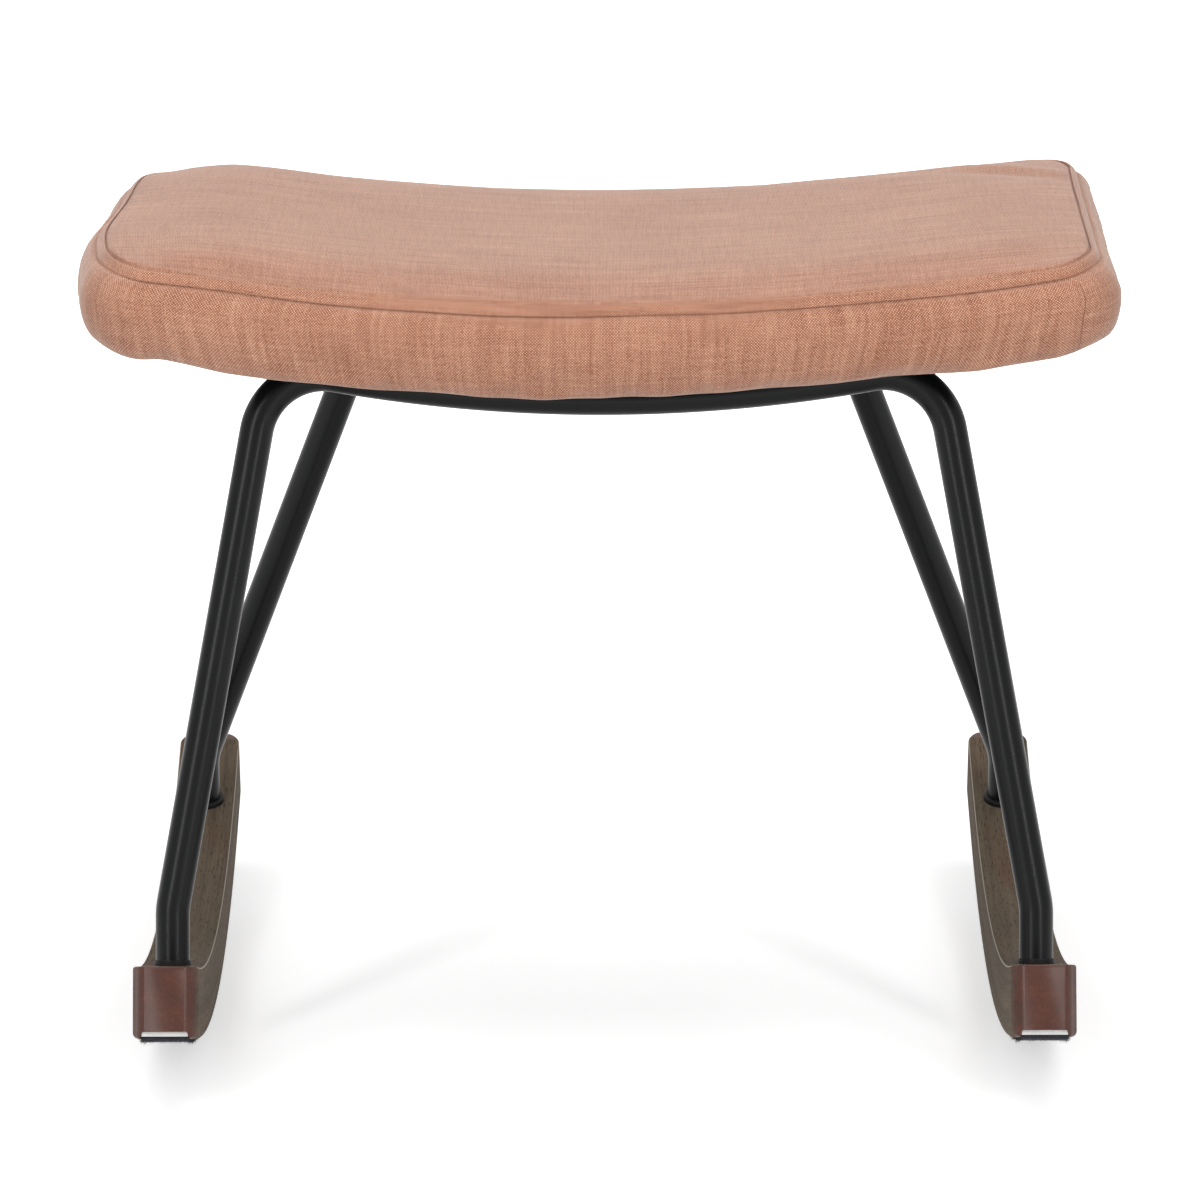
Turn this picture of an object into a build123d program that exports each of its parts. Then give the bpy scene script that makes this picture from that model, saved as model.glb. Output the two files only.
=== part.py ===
"""Rocking footstool: two tube hoops on bent wooden rockers carry a dished, upholstered seat.

The frame has X across the stool, Y from front to back and Z up. The origin lies on the
floor under the middle of the stool. All sizes are in millimetres.
"""

import os
from math import asin, atan2, cos, degrees, hypot, radians, sin, sqrt, tan

from build123d import *

# Rockers
rocker_spacing = 456.0        # between the two rockers' middle lines
rocker_chord = 465.0          # along the top, from end to end
rocker_top_radius = 695.0     # of the dished top
rocker_width = 34.0
rocker_depth = 34.0           # from the top to the bottom of the sole's groove
rocker_end_radius = 10.0      # of the rounded ends, seen from above
rocker_arris = 1.2            # of the broken long edges of the top
rocker_lip = 3.4              # of the lips that stand down either side of the sole
rocker_lip_round = 3.2        # of the lips' outer edges
sole_clearance = 0.5          # on either side, in the groove between the lips

# Felt soles on their white adhesive backing
sole_width = 24.0
backing_thickness = 2.4
felt_thickness = 2.6
backing_setback = 2.0         # from the rocker's end, along its bottom
felt_setback = 4.0

# Tube hoops
tube_diameter = 18.0
tube_wall = 1.5
hoop_angle = 13.5             # between a hoop's plane and the vertical, in degrees
foot_rise = 30.0              # from the rocker's top to where the leg turns outwards
foot_bend_radius = 45.0
corner_bend_radius = 36.0
crossbar_rise = 299.0         # from the rocker's top to the crossbar's lowest middle line
crossbar_dish_radius = 820.0
leg_splay = {"front": 10.1, "rear": 19.8}    # in degrees

# Foot joints
collar_diameter = {"front": 19.0, "rear": 22.0}
collar_thickness = 3.0
collar_edge = {"front": 0.4, "rear": 1.2}
insert_length = 18.0
foot_bolt_diameter = 8.0
foot_bolt_grip = 15.0         # length of thread in the insert
foot_bolt_head_diameter = 15.0
foot_bolt_head_height = 3.0
foot_washer_diameter = 20.0
foot_washer_thickness = 1.6
counterbore_depth = 8.0
hex_key_size = 5.0
bolt_hole_clearance = 0.5     # on the diameter
counterbore_clearance = 2.0   # on the diameter

# Seat tabs, their screws and the tee nuts
tab_spacing = 160.0           # between the two tabs of one crossbar
tab_width = 30.0
tab_reach = 36.0              # from the crossbar's middle line to the tab's free edge
tab_thickness = 4.0
tab_corner = 6.0
tab_weld_side = 4.0           # from the crossbar's middle line to the tab's welded edge
weld_bite = 0.4               # depth to which the tab is notched over the tube
seat_screw_diameter = 6.0
seat_screw_head_diameter = 12.0
seat_screw_head_height = 3.3
seat_screw_edge = 12.0        # from the tab's free edge to the screw
seat_screw_grip = 9.0         # length of thread in the seat board
seat_key_size = 4.0
screw_socket_depth = 2.0
screw_hole_clearance = 0.6    # on the diameter
tee_nut_diameter = 18.0
tee_nut_flange = 1.5
tee_nut_barrel_diameter = 8.0
tee_nut_barrel_length = 10.0

# Seat
seat_width = 538.0            # over the bulge of the boxing
seat_depth = 342.0
seat_dish_radius = 1250.0     # of the underside
seam_dish_radius = 1450.0     # of the seam round the top
seat_corner_radius = 32.0     # seen from above
boxing_height = 44.0          # at the middle of the seat
boxing_bulge = 10.0           # beyond the seam, at half height
underside_inset = 13.0        # of the underside's edge from the bulge
crown_height = 15.0           # of the top above the seam
shoulder_width = 26.0
shoulder_height = 9.5
end_shoulder_width = 34.0     # of the shoulders at the seat's two ends
end_shoulder_height = 10.0
cover_thickness = 1.5
wadding_thickness = 5.0
wadding_drop = 10.0           # down the sides below the seam
welt_width = 5.0
welt_height = 2.0
hem_width = 30.0
dust_cover_thickness = 1.0
dust_cover_inset = 12.0
seat_board_thickness = 12.0
seat_board_inset = 6.0

# Dependent sizes
tube_radius = tube_diameter / 2
bore_radius = tube_radius - tube_wall
sole_thickness = backing_thickness + felt_thickness
rocker_bottom_radius = rocker_top_radius + rocker_depth
rocker_x = rocker_spacing / 2
arc_height = rocker_bottom_radius + sole_thickness    # of the rockers' centre line
end_angle = degrees(asin(rocker_chord / 2 / rocker_top_radius))
sides = {"front": -1, "rear": 1}
hands = {"left": -1, "right": 1}
far = 2 * rocker_top_radius   # longer than anything that it cuts

os.makedirs("parts", exist_ok=True)


def save(node, *solids):
    """Write one sub-part, which may be a group of alike solids."""
    shape = solids[0] if len(solids) == 1 else Compound(children=list(solids))
    export_step(shape, f"parts/{node}.step")


def ring_sector(inner, outer, angle, width, centre=(0, 0, 0)):
    """A bent bar between two radii, hanging below its centre, to an angle each way."""
    with BuildSketch(Plane.YZ) as sector:
        with BuildLine():
            CenterArc((0, 0), inner, -90 - angle, 2 * angle)
            CenterArc((0, 0), outer, -90 - angle, 2 * angle)
            for side in (-1, 1):
                heading = radians(-90 + side * angle)
                way = Vector(cos(heading), sin(heading))
                Line(way * inner, way * outer)
        make_face()
    bar = extrude(sector.sketch, amount=width / 2, both=True)
    return Pos(*centre) * bar


# ---------------------------------------------------------------- foot joints
# A foot's frame has its origin on the rocker's arc centre line and its Z axis pointing
# from the foot up the hoop's plane, so that a depth is a negative height in it.
def foot_frame(side, hand):
    turned = Rot(X=sides[side] * hoop_angle)
    return Pos(hands[hand] * rocker_x, 0, arc_height) * turned


def disc(diameter, deepest, height):
    """A cylinder that stands on a given depth below the arc centre line."""
    return Pos(0, 0, -deepest + height / 2) * Cylinder(diameter / 2, height)


counterbore_floor = rocker_bottom_radius - counterbore_depth
collar_top = rocker_top_radius - collar_thickness
insert_top = collar_top - insert_length
bolt_seat = counterbore_floor + foot_washer_thickness
bolt_hole_diameter = foot_bolt_diameter + bolt_hole_clearance
counterbore_diameter = foot_washer_diameter + counterbore_clearance
rocker_surface = Rot(Y=90) * Cylinder(rocker_top_radius, far)


def make_collar(side):
    """A dark ring that seats the tube's end on the hollow of the rocker."""
    blank = disc(collar_diameter[side], rocker_top_radius, collar_thickness)
    edges = blank.edges().filter_by(GeomType.CIRCLE).sort_by(Axis.Z)
    ring = fillet(edges[-1], collar_edge[side])
    ring -= disc(bolt_hole_diameter, rocker_top_radius + 1, collar_thickness + 2)
    return ring & rocker_surface


def make_insert():
    """A threaded steel plug, welded flush into the foot of the tube."""
    plug = disc(2 * bore_radius, collar_top, insert_length)
    return plug - disc(foot_bolt_diameter, collar_top + 1, insert_length + 2)


def make_washer():
    washer = disc(foot_washer_diameter, bolt_seat, foot_washer_thickness)
    return washer - disc(bolt_hole_diameter, bolt_seat + 1, foot_washer_thickness + 2)


def make_foot_bolt():
    """A flat-headed bolt with a hexagon socket."""
    shank_length = bolt_seat - collar_top + foot_bolt_grip
    head_bottom = bolt_seat + foot_bolt_head_height
    bolt = disc(foot_bolt_diameter, bolt_seat, shank_length)
    bolt += disc(foot_bolt_head_diameter, head_bottom, foot_bolt_head_height)
    socket_depth = foot_bolt_head_height - 1
    socket = extrude(RegularPolygon(hex_key_size / 2, 6, major_radius=False), socket_depth)
    return bolt - Pos(0, 0, -head_bottom) * socket


# ---------------------------------------------------------------- rockers
def reach(edge):
    """How far an edge's middle lies from the rockers' centre line."""
    middle = edge @ 0.5
    return hypot(middle.Y, arc_height - middle.Z)


def make_rocker(hand):
    """A bent bar, grooved below for its sole, and bored and counterbored for its two bolts."""
    centre = (hands[hand] * rocker_x, 0, arc_height)
    lip_radius = rocker_bottom_radius + rocker_lip
    bar = ring_sector(rocker_top_radius, lip_radius, end_angle, rocker_width, centre)
    ends = bar.faces().filter_by(GeomType.PLANE).filter_by(Axis.X, reverse=True)
    corners = ends.edges().filter_by(Axis.X, reverse=True)
    bar = fillet(corners, rocker_end_radius)
    edges = bar.edges().filter_by(GeomType.LINE, reverse=True)
    top = [edge for edge in edges if abs(reach(edge) - rocker_top_radius) < rocker_arris]
    bottom = [edge for edge in edges if abs(reach(edge) - lip_radius) < rocker_arris]
    bar = fillet(top, rocker_arris)
    bottom = [edge for edge in bar.edges() if any(edge.center() == old.center() for old in bottom)]
    bar = fillet(bottom, rocker_lip_round)
    groove_width = sole_width + 2 * sole_clearance
    bar -= ring_sector(rocker_bottom_radius, lip_radius + 1, end_angle * 1.2, groove_width, centre)
    for side in sides:
        frame = foot_frame(side, hand)
        bar -= frame * disc(bolt_hole_diameter, rocker_bottom_radius + 1, rocker_depth + 2)
        bar -= frame * disc(counterbore_diameter, rocker_bottom_radius + 1, counterbore_depth + 1)
    return bar


def make_strip(hand, inner, thickness, setback):
    """A strip of the sole, bent to the rocker's bottom."""
    angle = end_angle - degrees(setback / rocker_bottom_radius)
    centre = (hands[hand] * rocker_x, 0, arc_height)
    return ring_sector(inner, inner + thickness, angle, sole_width, centre)


backing_bottom_radius = rocker_bottom_radius + backing_thickness
for hand in hands:
    save(f"{hand}_rocker", make_rocker(hand))
    backing = make_strip(hand, rocker_bottom_radius, backing_thickness, backing_setback)
    save(f"{hand}_sole_backing", backing)
    felt = make_strip(hand, backing_bottom_radius, felt_thickness, felt_setback)
    save(f"{hand}_felt_sole", felt)

# ---------------------------------------------------------------- hoops
# A hoop is bent in a flat plane that holds the rockers' centre line. In that plane, X
# runs across the stool and Y is the height above the top of the rockers.
def hoop_plane(side):
    tilt = radians(hoop_angle)
    up = Vector(0, -sides[side] * sin(tilt), cos(tilt))
    origin = Vector(0, 0, arc_height) - up * rocker_top_radius
    return Plane(origin=origin, x_dir=(1, 0, 0), z_dir=Vector(1, 0, 0).cross(up))


def hoop_path(side):
    """The middle line: foot, bend, leg, corner, dished crossbar, and the same mirrored."""
    splay = radians(leg_splay[side])
    up_leg = Vector(-sin(splay), cos(splay))
    inwards = Vector(-cos(splay), -sin(splay))
    foot = Vector(rocker_x, collar_thickness)
    knee = Vector(rocker_x, foot_rise)
    run = foot_bend_radius * tan(splay / 2)
    foot_end = knee - Vector(0, run)
    leg_start = knee + up_leg * run
    # The corner's centre lies one bend radius inside the leg and one outside the dish.
    dish_centre = Vector(0, crossbar_rise + crossbar_dish_radius)
    reach = crossbar_dish_radius + corner_bend_radius
    line_start = knee + inwards * corner_bend_radius
    to_line = line_start - dish_centre
    along = -to_line.dot(up_leg) - sqrt(to_line.dot(up_leg) ** 2 - to_line.dot(to_line) + reach**2)
    corner_centre = line_start + up_leg * along
    leg_end = knee + up_leg * along
    to_dish = (dish_centre - corner_centre).normalized()
    bar_end = corner_centre + to_dish * corner_bend_radius
    corner_middle = corner_centre + (to_dish - inwards).normalized() * corner_bend_radius
    foot_middle_way = (Vector(1, 0) - inwards).normalized()
    foot_bend_centre = Vector(rocker_x - foot_bend_radius, foot_end.Y)
    foot_middle = foot_bend_centre + foot_middle_way * foot_bend_radius
    half = [
        ThreePointArc(bar_end, corner_middle, leg_end),
        Line(leg_end, leg_start),
        ThreePointArc(leg_start, foot_middle, foot_end),
        Line(foot_end, foot),
    ]
    dish_low = (0, crossbar_rise)
    bar = ThreePointArc((-bar_end.X, bar_end.Y), dish_low, bar_end)
    mirrored = [edge.mirror(Plane.YZ) for edge in half]
    return hoop_plane(side).from_local_coords(Wire(mirrored + [bar] + half))


def make_tube(side, radius):
    path = hoop_path(side)
    section = Plane(origin=path @ 0, z_dir=path % 0) * Circle(radius)
    return sweep(section, path=path)


tubes = {side: make_tube(side, tube_radius) for side in sides}
for side in sides:
    save(f"{side}_hoop", tubes[side] - make_tube(side, bore_radius))
    for hand in hands:
        save(f"{side}_{hand}_collar", foot_frame(side, hand) * make_collar(side))

feet = [foot_frame(side, hand) for side in sides for hand in hands]
save("foot_inserts", *[foot * make_insert() for foot in feet])
save("foot_washers", *[foot * make_washer() for foot in feet])
save("foot_bolts", *[foot * make_foot_bolt() for foot in feet])

# ---------------------------------------------------------------- seat
# The seat is dished about a line above it that runs from front to back. A level is a
# height above the seat's underside, measured towards that line.
tab_x = tab_spacing / 2
tab_down = rocker_top_radius - crossbar_rise
tab_down -= crossbar_dish_radius - sqrt(crossbar_dish_radius**2 - tab_x**2)
bar_y = tab_down * sin(radians(hoop_angle))     # of the crossbars' middle lines at the tabs
bar_z = arc_height - tab_down * cos(radians(hoop_angle))
tab_top = -dust_cover_thickness
tab_bottom = tab_top - tab_thickness
tab_bottom_height = bar_z + tube_radius - weld_bite
seat_axis_height = tab_bottom_height + sqrt((seat_dish_radius - tab_bottom) ** 2 - tab_x**2)
cover_inside = cover_thickness
board_top = cover_inside + seat_board_thickness
seat_top = boxing_height + crown_height
seam_height = seat_axis_height - seat_dish_radius + boxing_height
seam_axis_height = seam_height + seam_dish_radius


def over_dish(axis_height, radius):
    """A block over the seat's whole plan, with a dish for its underside."""
    rim = axis_height - sqrt(radius**2 - seat_width**2)
    low = Vector(0, axis_height - radius)
    left, right = Vector(-seat_width, rim), Vector(seat_width, rim)
    lid = Vector(0, 2 * seat_top)
    arc = ThreePointArc(left, low, right)
    face = make_face([arc, Line(right, right + lid), Line(right + lid, left + lid), Line(left + lid, left)])
    return extrude(Plane.XZ * face, amount=seat_depth, both=True)


def above(level):
    """Everything over a level."""
    return over_dish(seat_axis_height, seat_dish_radius - level)


def layer(low, high):
    """A curved sheet between two levels."""
    return above(low) - above(high)


def above_seam(offset):
    """Everything over the flatter dish that the seam round the top lies on."""
    return over_dish(seam_axis_height, seam_dish_radius - offset)


def seam_level(x):
    """The seam's level at a distance from the middle."""
    height = seam_axis_height - sqrt(seam_dish_radius**2 - x**2)
    return seat_dish_radius - hypot(x, seat_axis_height - height)


def footprint(inset, corner):
    """An upright block inside the outline of the boxing's bulge, under the dish's axis."""
    outline = RectangleRounded(seat_width - 2 * inset, seat_depth - 2 * inset, corner)
    foot = seat_axis_height - seat_dish_radius - boxing_height
    return Pos(0, 0, foot) * extrude(outline, seat_dish_radius / 2)


def seat_frame(x, y):
    """On the dish's axis, its Z axis square to the seat above one point of the plan."""
    lean = degrees(asin(x / seat_dish_radius))
    return Pos(0, y, seat_axis_height) * Rot(Y=-lean)


def pin(diameter, low, high):
    """A cylinder of a seat frame between two levels."""
    return Pos(0, 0, (low + high) / 2 - seat_dish_radius) * Cylinder(diameter / 2, high - low)


def arc_onto(start, end, end_slope):
    """An arc that reaches its end at a slope, in radians from the way back to X = 0."""
    chord = end - start
    bow = atan2(chord.Y, abs(chord.X)) - end_slope
    way = 1 if chord.X < 0 else -1
    outwards = Vector(way * chord.Y, -way * chord.X).normalized()
    middle = (start + end) / 2 + outwards * abs(chord.length / 2 * tan(bow / 2))
    return ThreePointArc(start, middle, end)


def outline_at(x, inset, corner):
    """Half the depth of a rounded outline inside the bulge, at a distance from the middle."""
    past = min(max(abs(x) - (seat_width / 2 - inset - corner), 0), corner)
    return seat_depth / 2 - inset - corner + sqrt(corner**2 - past**2)


def cushion_section(x, inset):
    """The cushion across its depth: drawn-in sides, shoulders and crown, as lines and arcs."""
    top_level = seam_level(x)
    levels = {
        "bottom": (0, underside_inset, seat_corner_radius - underside_inset / 2),
        "bulge": (top_level / 2, 0, seat_corner_radius),
        "seam": (top_level, boxing_bulge, seat_corner_radius - boxing_bulge / 2),
    }
    points = {}
    for name, (level, drawn_in, corner) in levels.items():
        x_there = x * (1 - level / seat_dish_radius)
        points[name] = Vector(outline_at(x_there, drawn_in + inset, corner), level)
    bottom, bulge, seam = points["bottom"], points["bulge"], points["seam"]
    shoulder = Vector(seam.X - shoulder_width, seam.Y + shoulder_height - inset)
    crown = Vector(0, seam.Y + crown_height - inset)
    crown_slope = 2 * atan2(crown.Y - shoulder.Y, shoulder.X)
    half = [
        Line((bottom.X, tab_bottom), bottom),
        ThreePointArc(bottom, bulge, seam),
        arc_onto(seam, shoulder, crown_slope),
    ]
    mirrored = [line.mirror(Plane.YZ) for line in half]
    floor = Line((-bottom.X, tab_bottom), (bottom.X, tab_bottom))
    crown_arc = ThreePointArc(shoulder, crown, (-shoulder.X, shoulder.Y))
    face = make_face(half + [crown_arc] + mirrored + [floor])
    lean = asin(x / seat_dish_radius)
    foot = Vector(sin(lean), 0, -cos(lean)) * seat_dish_radius
    place = Vector(0, 0, seat_axis_height) + foot
    return Plane(place, x_dir=(0, 1, 0), z_dir=(cos(lean), 0, sin(lean))) * face


def end_profile(inset):
    """The cushion from the front: it bounds the bulging ends and their shoulders."""
    def at(x, share, height=0):
        radius = seat_dish_radius - seam_level(x) * share - height
        return Vector(x, seat_axis_height - sqrt(radius**2 - x**2))

    half_width = seat_width / 2 - inset
    lines = []
    for hand in hands.values():
        bottom = at(hand * (half_width - underside_inset), 0)
        bulge = at(hand * half_width, 0.5)
        seam = at(hand * (half_width - boxing_bulge), 1)
        shoulder = at(seam.X - hand * end_shoulder_width, 1, end_shoulder_height - inset)
        over = at(shoulder.X - hand * end_shoulder_width, 1, crown_height + inset)
        slope = -asin(shoulder.X * hand / seam_dish_radius)
        lines.append(Line(bottom - Vector(0, boxing_height), bottom))
        lines.append(ThreePointArc(bottom, bulge, seam))
        lines.append(arc_onto(seam, shoulder, slope))
        lines.append(Line(shoulder, over))
    left_foot, right_foot = lines[0] @ 0, lines[4] @ 0
    left_over, right_over = lines[3] @ 1, lines[7] @ 1
    lines.append(Line(left_foot, right_foot))
    lines.append(Line(left_over, right_over))
    return make_face(lines)


def cushion_form(inset):
    """The cushion's outside, or the same form inside it by an inset."""
    straight = seat_width / 2 - seat_corner_radius - underside_inset
    past_end = (seat_width / 2 + cover_thickness) / (1 - boxing_height / seat_dish_radius)
    turns = [0, 0.25, 0.5, 0.7, 0.85, 1.0]
    corner = [straight + (past_end - straight) * turn for turn in turns]
    middle = [straight * step / 3 for step in range(-3, 4)]
    body = loft([cushion_section(x, inset) for x in middle])
    for hand in hands.values():
        body += loft([cushion_section(hand * x, inset) for x in corner], ruled=True)
    ends = extrude(Plane.XZ * end_profile(inset), amount=seat_depth, both=True)
    return body & ends


tab_corners = [(hands[hand] * tab_x, sides[side]) for side in sides for hand in hands]
screw_y = bar_y - tab_reach + seat_screw_edge
screw_frames = [seat_frame(x, way * screw_y) for x, way in tab_corners]
screw_low = tab_bottom - seat_screw_head_height
screw_tip = cover_inside + seat_screw_grip
barrel_low = board_top - tee_nut_barrel_length


def make_tab(side):
    """The left plate, which lies along the dish, notched over the crossbar it is welded to."""
    inner = bar_y - tab_reach
    outer = bar_y + tab_weld_side
    plate = RectangleRounded(tab_width, outer - inner, tab_corner)
    foot = seat_axis_height - seat_dish_radius - boxing_height
    middle = sides[side] * (inner + outer) / 2
    tab = Pos(-tab_x, middle, foot) * extrude(plate, seat_dish_radius / 2)
    tab = tab & layer(tab_bottom, tab_top)
    hole = pin(seat_screw_diameter + screw_hole_clearance, tab_bottom - 1, tab_top + 1)
    tab -= seat_frame(-tab_x, sides[side] * screw_y) * hole
    return tab - tubes[side]


def make_seat_screw(frame):
    """A flat-topped screw with a hexagon socket, its head under the tab."""
    head = frame * pin(seat_screw_head_diameter, screw_low, board_top)
    head = head & layer(screw_low, tab_bottom)
    screw = head + frame * pin(seat_screw_diameter, tab_bottom - 1, screw_tip)
    socket = extrude(RegularPolygon(seat_key_size / 2, 6, major_radius=False), screw_socket_depth)
    return screw - frame * Pos(0, 0, screw_low - seat_dish_radius) * socket


def make_tee_nut(frame):
    """A flange on top of the board and a threaded barrel down into it."""
    flange = frame * pin(tee_nut_diameter, barrel_low, seat_top)
    flange = flange & layer(board_top, board_top + tee_nut_flange)
    nut = flange + frame * pin(tee_nut_barrel_diameter, barrel_low, board_top + 1)
    return nut - frame * pin(seat_screw_diameter, barrel_low - 1, seat_top)


for side in sides:
    tab = make_tab(side)
    save(f"{side}_left_seat_tab", tab)
    save(f"{side}_right_seat_tab", mirror(tab, about=Plane.YZ))
save("seat_screws", *[make_seat_screw(frame) for frame in screw_frames])
tee_nuts = [make_tee_nut(frame) for frame in screw_frames]
save("tee_nuts", *tee_nuts)

# The board has a hole for each tee nut's barrel, and the dust cover one for each screw.
dust_inset = underside_inset + dust_cover_inset
dust_cover = footprint(dust_inset, seat_corner_radius - underside_inset)
dust_cover = dust_cover & layer(-dust_cover_thickness, 0)
board_inset = underside_inset + cover_inside + seat_board_inset
board_blank = footprint(board_inset, seat_corner_radius - underside_inset)
board_blank = board_blank & layer(cover_inside, board_top)
board = board_blank
for frame in screw_frames:
    board -= frame * pin(tee_nut_barrel_diameter, cover_inside - 1, board_top + 1)
    dust_hole = pin(seat_screw_diameter + screw_hole_clearance, tab_top - 1, 1)
    dust_cover -= frame * dust_hole
save("seat_board", board)
save("dust_cover", dust_cover)

# The fillings are what the cover holds, round the board and the tee nuts. The wadding
# lies over the foam and a little way down its sides.
outside = cushion_form(0)
inside = cushion_form(cover_thickness)
filling = inside & above(cover_inside)
foam = cushion_form(cover_thickness + wadding_thickness) + (filling - above_seam(-wadding_drop))
foam = foam & filling
wadding = filling - foam
foam -= board_blank
for frame, nut in zip(screw_frames, tee_nuts):
    foam -= nut
    foam -= frame * pin(seat_screw_diameter, board_top - 1, board_top + tee_nut_flange)
save("foam_core", foam)
save("wadding", wadding)

# The cover is sewn from a top panel and a boxing, whose hem is stapled under the board.
cover = outside & above(0)
cover -= filling
hem_edge = footprint(underside_inset + hem_width, seat_corner_radius - underside_inset)
cover -= hem_edge & layer(-1, cover_inside)
boxing = cover - above_seam(0)
top_panel = cover & above_seam(0)
welt_band = above_seam(-welt_width / 2) - above_seam(welt_width / 2)
welt = (cushion_form(-welt_height) & welt_band) - (outside & welt_band)
save("cover_boxing", boxing)
save("cover_top_panel", top_panel)
save("cover_welt", welt)
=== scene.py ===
from math import asin, atan2, cos, pi, radians, sin, sqrt, tan

import bmesh
import bpy
import numpy as np
from mathutils import Euler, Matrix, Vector


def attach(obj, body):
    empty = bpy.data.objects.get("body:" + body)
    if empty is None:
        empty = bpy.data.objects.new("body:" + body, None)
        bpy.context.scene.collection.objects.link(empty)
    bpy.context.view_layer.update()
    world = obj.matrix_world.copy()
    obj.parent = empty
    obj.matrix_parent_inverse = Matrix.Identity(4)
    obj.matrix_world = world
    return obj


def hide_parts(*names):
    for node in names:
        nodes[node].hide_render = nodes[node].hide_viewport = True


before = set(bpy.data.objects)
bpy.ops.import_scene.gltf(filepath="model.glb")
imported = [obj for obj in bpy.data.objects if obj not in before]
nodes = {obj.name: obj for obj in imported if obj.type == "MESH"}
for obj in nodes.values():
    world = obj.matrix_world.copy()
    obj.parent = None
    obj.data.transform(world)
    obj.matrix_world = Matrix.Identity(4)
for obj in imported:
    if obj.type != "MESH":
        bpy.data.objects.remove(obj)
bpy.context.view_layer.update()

# ---------------------------------------------------------------- room, light and camera
# A white studio floor that runs out to a white background, a large soft lamp overhead, a
# tall narrow one on either side in front, and a long lens that looks down a little.
floor_size = 30.0
camera_pitch = radians(14.0)
camera_roll = radians(0.12)
camera_place = (-0.002, -3.874, 1.182)
lens_length = 220.0

scene = bpy.context.scene
scene.view_settings.view_transform = "Standard"


def added(name, data):
    """A new object in the scene."""
    made = bpy.data.objects.new(name, data)
    scene.collection.objects.link(made)
    return made


def mesh_of(name, points, faces, edges=()):
    """A plain mesh of points and the faces or edges between them."""
    mesh = bpy.data.meshes.new(name)
    mesh.from_pydata(points, edges, faces)
    return mesh


class Value:
    """A socket of a finish, on which sums can be written."""

    def __init__(self, finish, socket):
        self.finish = finish
        self.socket = socket

    def sum(self, operation, *terms):
        return self.finish.add("ShaderNodeMath", {"operation": operation}, dict(enumerate(terms)))

    def __add__(self, other):
        return self.sum("ADD", self, other)

    def __sub__(self, other):
        return self.sum("SUBTRACT", self, other)

    def __mul__(self, other):
        return self.sum("MULTIPLY", self, other)

    def __truediv__(self, other):
        return self.sum("DIVIDE", self, other)

    def __rsub__(self, other):
        return self.sum("SUBTRACT", other, self)

    def __abs__(self):
        return self.sum("ABSOLUTE", self)

    __radd__ = __add__
    __rmul__ = __mul__


class Finish:
    """A material or a sky, with one method that adds any of its nodes."""

    def __init__(self, owner, output="ShaderNodeOutputMaterial"):
        owner.use_nodes = True
        self.owner = owner
        self.tree = owner.node_tree
        self.tree.nodes.clear()
        self.output = self.tree.nodes.new(output)

    def add(self, kind, settings=None, values=None, out=0):
        node = self.tree.nodes.new(kind)
        for name, setting in (settings or {}).items():
            if name == "stops":
                elements = node.color_ramp.elements
                while len(elements) < len(setting):
                    elements.new(0.5)
                for element, (place, colour) in zip(elements, setting):
                    element.position = place
                    element.color = (*colour, 1.0)
            else:
                setattr(node, name, setting)
        for name, value in (values or {}).items():
            socket = node.inputs[name]
            if isinstance(value, Value):
                self.tree.links.new(value.socket, socket)
            elif socket.type == "RGBA":
                socket.default_value = (*value, 1.0)
            else:
                socket.default_value = value
        return Value(self, node.outputs[out])

    def close(self, shader):
        self.tree.links.new(shader.socket, self.output.inputs["Surface"])
        return self.owner

    def seen_or_mirrored(self):
        """1 for what the camera sees straight, in a mirror or through glass."""
        seen = self.add("ShaderNodeLightPath", out="Is Camera Ray")
        mirrored = self.add("ShaderNodeLightPath", out="Is Glossy Ray")
        through = self.add("ShaderNodeLightPath", out="Is Transmission Ray")
        return seen.sum("MAXIMUM", seen, mirrored.sum("MAXIMUM", mirrored, through))

    def parts(self, vector):
        """The three numbers of a vector."""
        return [self.add("ShaderNodeSeparateXYZ", values={0: vector}, out=i) for i in range(3)]

    def vector(self, x, y, z=0.0):
        return self.add("ShaderNodeCombineXYZ", values={0: x, 1: y, 2: z})

    def noise(self, vector, scale=1.0, detail=2.0, roughness=0.5, distortion=0.0):
        values = {"Vector": vector, "Scale": scale, "Detail": detail}
        values.update({"Roughness": roughness, "Distortion": distortion})
        return self.add("ShaderNodeTexNoise", values=values)

    def ramp(self, factor, *stops):
        return self.add("ShaderNodeValToRGB", {"stops": stops}, {0: factor})

    def step(self, value, low, high):
        """From 0 at one value to 1 at another, with soft ends."""
        values = {"Value": value, "From Min": low, "From Max": high}
        return self.add("ShaderNodeMapRange", {"interpolation_type": "SMOOTHSTEP"}, values)

    def mix(self, factor, first, second, blend="MIX"):
        settings = {"data_type": "RGBA", "blend_type": blend}
        return self.add("ShaderNodeMix", settings, {0: factor, 6: first, 7: second}, out=2)

    def bump(self, height, distance, strength=1.0):
        values = {"Height": height, "Distance": distance, "Strength": strength}
        return self.add("ShaderNodeBump", values=values)

    def surface(self, **values):
        """Closes the material with the shader that all solid pieces share."""
        named = {name.replace("_", " "): value for name, value in values.items()}
        return self.close(self.add("ShaderNodeBsdfPrincipled", values=named))


def new_finish(name):
    """A material to fill, and the place on the object in metres."""
    finish = Finish(bpy.data.materials.new(name))
    return finish, finish.add("ShaderNodeTexCoord", out="Object")


paper, place = new_finish("studio_paper")
matt = paper.add("ShaderNodeBsdfDiffuse", values={"Color": (0.84, 0.84, 0.84)})
across, back, _ = paper.parts(place)
far = paper.step(across.sum("SQRT", across * across + back * back), 0.55, 1.3)
glow = paper.seen_or_mirrored() * (0.50 + far * 0.6)
shine = paper.add("ShaderNodeEmission", values={"Color": (1, 1, 1), "Strength": glow})
paper.close(paper.add("ShaderNodeAddShader", values={0: matt, 1: shine}))

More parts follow.
